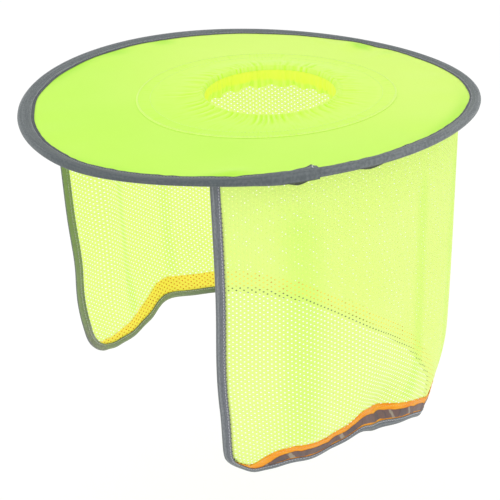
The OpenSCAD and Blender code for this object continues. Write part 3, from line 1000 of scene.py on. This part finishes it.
def flap_tape_profile(share, width, more, rise, grow):
    """(distance in from the edge, offset from the mesh), from the inner leaf's edge round to
    the outer one. The inner leaf is wider by more. The outer leaf has a soft roll along the edge
    and a crease beside it."""
    inner = np.clip(1 - share / FOLD_START, 0, 1)
    outer = np.clip((share - FOLD_END) / (1 - FOLD_END), 0, 1)
    turn = np.clip((share - FOLD_START) / (FOLD_END - FOLD_START), 0, 1)
    w = inner * (width + more) + outer * width - (0.5 + grow) * np.sin(turn * math.pi)
    puff = 0.9 * bump(outer, 0.28, 0.2) * (rise < LEAF_BARE + 0.2)
    crease = 0.18 * bump(outer, 0.6, 0.07)
    out = lerp(-LEAF_BARE - grow, rise + grow, smooth(turn)) + (puff - crease) * (share > FOLD_END)
    return w, out


def make_flap_tape():
    s, d, in_s, in_d, corner = edge_line().T[:, None, :]
    share = np.concatenate([
        np.linspace(0, FOLD_START, 6), np.linspace(0.39, 0.47, 4), np.linspace(FOLD_END, 1, 12),
    ])[:, None]
    width = lerp(SIDE_TAPE_W, HEM_TAPE_W, corner) + 0.25 * ripple(s / 40, (1, 2.3, 4.1), 51)
    rise = lerp(LEAF_BARE, LEAF_TAPED, np.clip(corner * 3, 0, 1))
    more = np.where(s < 0, INNER_MORE_NEAR * smooth((d - 22) / 25), INNER_MORE) * (1 - corner)

    def points(grow):
        w, out = flap_tape_profile(share, width, more, rise, grow)
        return flap_at(s + w * in_s, d + w * in_d, out)

    outside, inside = points(TAPE_T), points(0.0)
    run = run_along(outside[0])
    uv = stack(run, share * 2 * SIDE_TAPE_W)
    # the inner leaf at the back lies in the flap's own shade
    shade = smooth((80 - np.abs(flap_turn(s) - 10)) / 20) * (share < 0.4)
    # light falls on the far corner's tip
    tip = bump(s, HALF_ARC - 8, 17) * bump(hem_depth(s) - d, 12, 22)
    piece = add_cloth(
        "flap_binding_tape", outside, inside, uv, flap_tape_material,
        {"drop": d, "shade": shade, "tip": tip},
    )
    # the leaf inside the flap has its own painted shade, a greener grey
    index = np.zeros(len(piece.data.polygons), np.int32)
    index[: INNER_LEAF_ROWS * (outside.shape[1] - 1)] = 1
    piece.data.materials.append(tape_inside_shaded)
    piece.data.polygons.foreach_set("material_index", index)
    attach(piece, "root")
    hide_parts("flap_binding")


# ---- orange tape and reflective strip on the hem ----

def hem_wrinkles(s, up):
    """Small slanting buckles of the stiff tapes along the hem, 0 or more."""
    return np.clip(ripple((s + 0.35 * up) / FLAP_R, (47, 63, 88, 121), 61), -0.2, 1.5) + 0.2


def make_hem_band(name, low, high, base, thick, skip, material, buckle, narrow, wave):
    """A tape on the hem, from low to high above it. It stops skip points of the hem's line before
    the ends, buckle is how far it lifts, and wave how much its two edges wander."""
    s, hem = hem_line()[skip:-skip, :2].T[:, None]
    across = np.linspace(0, 1, 9)[:, None]
    up = (low + (high - low) * across) * tape_share(s, narrow)
    up = up + wave * ripple(s / FLAP_R, (38, 57, 80), 63)
    s, d = np.broadcast_arrays(s, hem - up)
    free = smooth((up - HEM_TAPE_W) / 3)
    lift = buckle * hem_wrinkles(s, up) * free
    outside, inside = flap_at(s, d, base + thick + lift), flap_at(s, d, base + lift)
    uv = stack(s, d)
    # where the reflective film is painted lighter and darker, as light and shade on its wrinkles
    fold = ripple((s + 0.6 * up) / FLAP_R, (31, 47, 63, 88), 62)
    piece = add_cloth(name, outside, inside, uv, material, {"fold": fold})
    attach(piece, "root")
    return piece


def make_hem():
    under = MESH_T / 2 + LAY_GAP
    orange = make_hem_band(
        "hem_tape_band", 0.6, ORANGE_W, under, ORANGE_T, ORANGE_SKIP, orange_material,
        buckle=0.4, narrow=ORANGE_NARROW, wave=0.3,
    )
    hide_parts("hem_tape")
    silver = make_hem_band(
        "reflective_band", SILVER_UP, SILVER_UP + SILVER_W, under + ORANGE_T + SILVER_GAP,
        SILVER_T, SILVER_SKIP, reflective_material, buckle=0.55, narrow=SILVER_NARROW, wave=0.45,
    )
    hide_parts("reflective_strip")


# ---- sewing threads ----

STITCH_POINTS = 5
STITCH_WANDER = 0.1
STITCH_SEED = 1


def sew(name, place, ends, pitch, length, thread, lift=0.12, radius=0.2):
    """A row of stitches between two distances along a seam. place(t) gives the points and the
    outward directions at the distances t."""
    starts = np.arange(*ends, pitch)[:, None]
    random = np.random.default_rng(STITCH_SEED)
    starts = starts + random.uniform(-STITCH_WANDER, STITCH_WANDER, starts.shape)
    share = np.linspace(0, 1, STITCH_POINTS)
    t = starts + share * length
    points, out = (x.reshape(*t.shape, 3) for x in np.broadcast_arrays(*place(t.ravel())))
    arch = np.sin(share * math.pi)[:, None] * lift
    add_threads(name, points + out * arch, out, radius, thread)


def sew_crown():
    def on_crown(radius):
        def place(t):
            return crown_surface(radius, t / radius) + HALF_CLOTH, UP
        return place

    for name, radius in (("outer", LAP_STITCH_R), ("inner", GATHER_STITCH_R)):
        sew(
            f"crown_stitches_{name}", on_crown(radius), (0, TAU * radius - 3), 3.2, 2.4,
            lime_thread, lift=0.18,
        )


def sew_hoop_tape():
    def place(t):
        return hoop_tape_surface(0.9, t / BRIM_R, TAPE_T, -1.0), UP

    start = (LAP_END - LAP_SPAN) * BRIM_R
    sew(
        "hoop_tape_stitches", place, (start, start + TAU * BRIM_R - 12), 3.0, 2.2, grey_thread,
    )


def sew_flap_tape():
    line = edge_line()
    run = run_along(line[:, :2])

    def on_edge(side, zigzag):
        def place(t):
            s, d, in_s, in_d, corner = (np.interp(t, run, column) for column in line.T)
            w = lerp(SIDE_TAPE_W, HEM_TAPE_W, corner) - EDGE_STITCH_W
            w = w + zigzag * np.where(np.floor(t / 2) % 2 < 1, 1, -1)
            rise = lerp(LEAF_BARE, LEAF_TAPED, np.clip(corner * 3, 0, 1)) + TAPE_T
            s, d = s + w * in_s, d + w * in_d
            return flap_at(s, d, rise if side > 0 else -LEAF_BARE - TAPE_T), flap_out(s, d) * side
        return place

    for name, side, zigzag in (("outside", 1, 0.2), ("inside", -1, 0.0)):
        sew(
            f"flap_tape_stitches_{name}", on_edge(side, zigzag), (2.0, run[-1] - 3), 2.6, 2.0,
            pale_thread, radius=0.3,
        )


def sew_hem_tape():
    def place(t):
        d = hem_depth(t) - ORANGE_W * tape_share(t, ORANGE_NARROW) + ORANGE_STITCH_W
        lift = 0.25 * hem_wrinkles(t, ORANGE_W - ORANGE_STITCH_W)
        off = MESH_T / 2 + LAY_GAP + ORANGE_T + lift
        return flap_at(t, d, off), flap_out(t, d)

    ends = (CORNER_R[-1] - HALF_ARC, HALF_ARC - CORNER_R[1] - 3)
    sew("hem_tape_stitches", place, ends, 2.8, 2.1, orange_thread)


def make_loose_thread():
    """A loose end at the lap of the brim's binding."""
    t = np.linspace(0, 1, 24)
    a = LAP_END + 0.006 - 0.028 * np.sin(t * math.pi / 2)
    path = hoop_tape_surface(lerp(0.98, 0.62, t), a, TAPE_T + 0.4, LAP_SPAN * 0.95)[None]
    add_threads("loose_thread", path, UP, 0.22, white_thread)


# ---- pieces that stay from the frame ----

def paint_steel():
    for name in ("spring_hoop", "hoop_sleeve"):
        materials = frame["nodes"][name].data.materials
        materials.clear()
        materials.append(steel_material)


# ---- floor; camera and lamps, in metres ----

CAMERA_AT = (1.1936, -0.7116, 0.4700)
CAMERA_TURN = math.radians(60)
CAMERA_PITCH = math.radians(24.0)
CAMERA_ROLL = math.radians(2.216)
CAMERA_FOV = math.radians(17)
SENSOR_W = 36
FLOOR_Z = -650.0
FLOOR_HALF = 6000.0
# the share of light that the floor gives back, but the camera sees it white
FLOOR_SHADE = 0.95
LAMP_SIZE = 1.8
LAMP_AIM = (0, 0, -0.1)


def make_camera():
    data = bpy.data.cameras.new("camera")
    data.sensor_width = SENSOR_W
    data.lens = SENSOR_W / 2 / math.tan(CAMERA_FOV / 2)
    data.clip_end = 50
    matrix = Matrix.Translation(CAMERA_AT)
    for angle, axis in (
        (CAMERA_TURN, "Z"), (math.pi / 2 - CAMERA_PITCH, "X"), (-CAMERA_ROLL, "Z")
    ):
        matrix = matrix @ Matrix.Rotation(angle, 4, axis)
    camera = link(bpy.data.objects.new("camera", data))
    camera.matrix_world = matrix
    bpy.context.scene.camera = camera


def make_floor():
    """A floor that is white to the camera, straight or in a mirror or glass, and keeps shadows."""
    s = Shader("floor")
    path = s.node("LightPath")
    seen = s.math("MAXIMUM", path["Is Camera Ray"], path["Is Glossy Ray"])
    seen = s.math("MAXIMUM", seen, path["Is Transmission Ray"])
    shade = s.math("MULTIPLY_ADD", seen, 1 - FLOOR_SHADE, FLOOR_SHADE)
    matt = {"Base Color": shade, "Roughness": 1.0, "Specular IOR Level": 0.0}
    material = s.finish(s.node("BsdfPrincipled", matt)[0])
    x, y = np.array([(-1, -1), (1, -1), (1, 1), (-1, 1)]).T * FLOOR_HALF
    floor = add_mesh("floor", stack(x, y, FLOOR_Z), [[0, 1, 2, 3]], [material])


def make_light():
    world = bpy.data.worlds.new("studio")
    bpy.context.scene.world = world
    world.use_nodes = True
    background = world.node_tree.nodes["Background"]
    background.inputs["Color"].default_value = (1, 1, 1, 1)
    background.inputs["Strength"].default_value = 1.0
    for name, at, power in (
        ("key_lamp", (1.6, -0.9, 2.2), 8.0),
        ("fill_lamp", (-1.6, -1.6, 1.6), 3.0),
    ):
        data = bpy.data.lights.new(name, "AREA")
        data.size = LAMP_SIZE
        data.energy = power
        aim = (Vector(LAMP_AIM) - Vector(at)).to_track_quat("-Z", "Y").to_matrix().to_4x4()
        link(bpy.data.objects.new(name, data)).matrix_world = Matrix.Translation(at) @ aim
    bpy.context.scene.view_settings.view_transform = "Standard"


make_camera()
make_floor()
make_light()
make_hoop_tape()
make_brim()
make_elastic_band()
make_casing()
make_crown()
make_flap_tape()
make_hem()
make_flap()
sew_crown()
sew_hoop_tape()
sew_flap_tape()
sew_hem_tape()
make_loose_thread()
paint_steel()

bpy.context.view_layer.update()
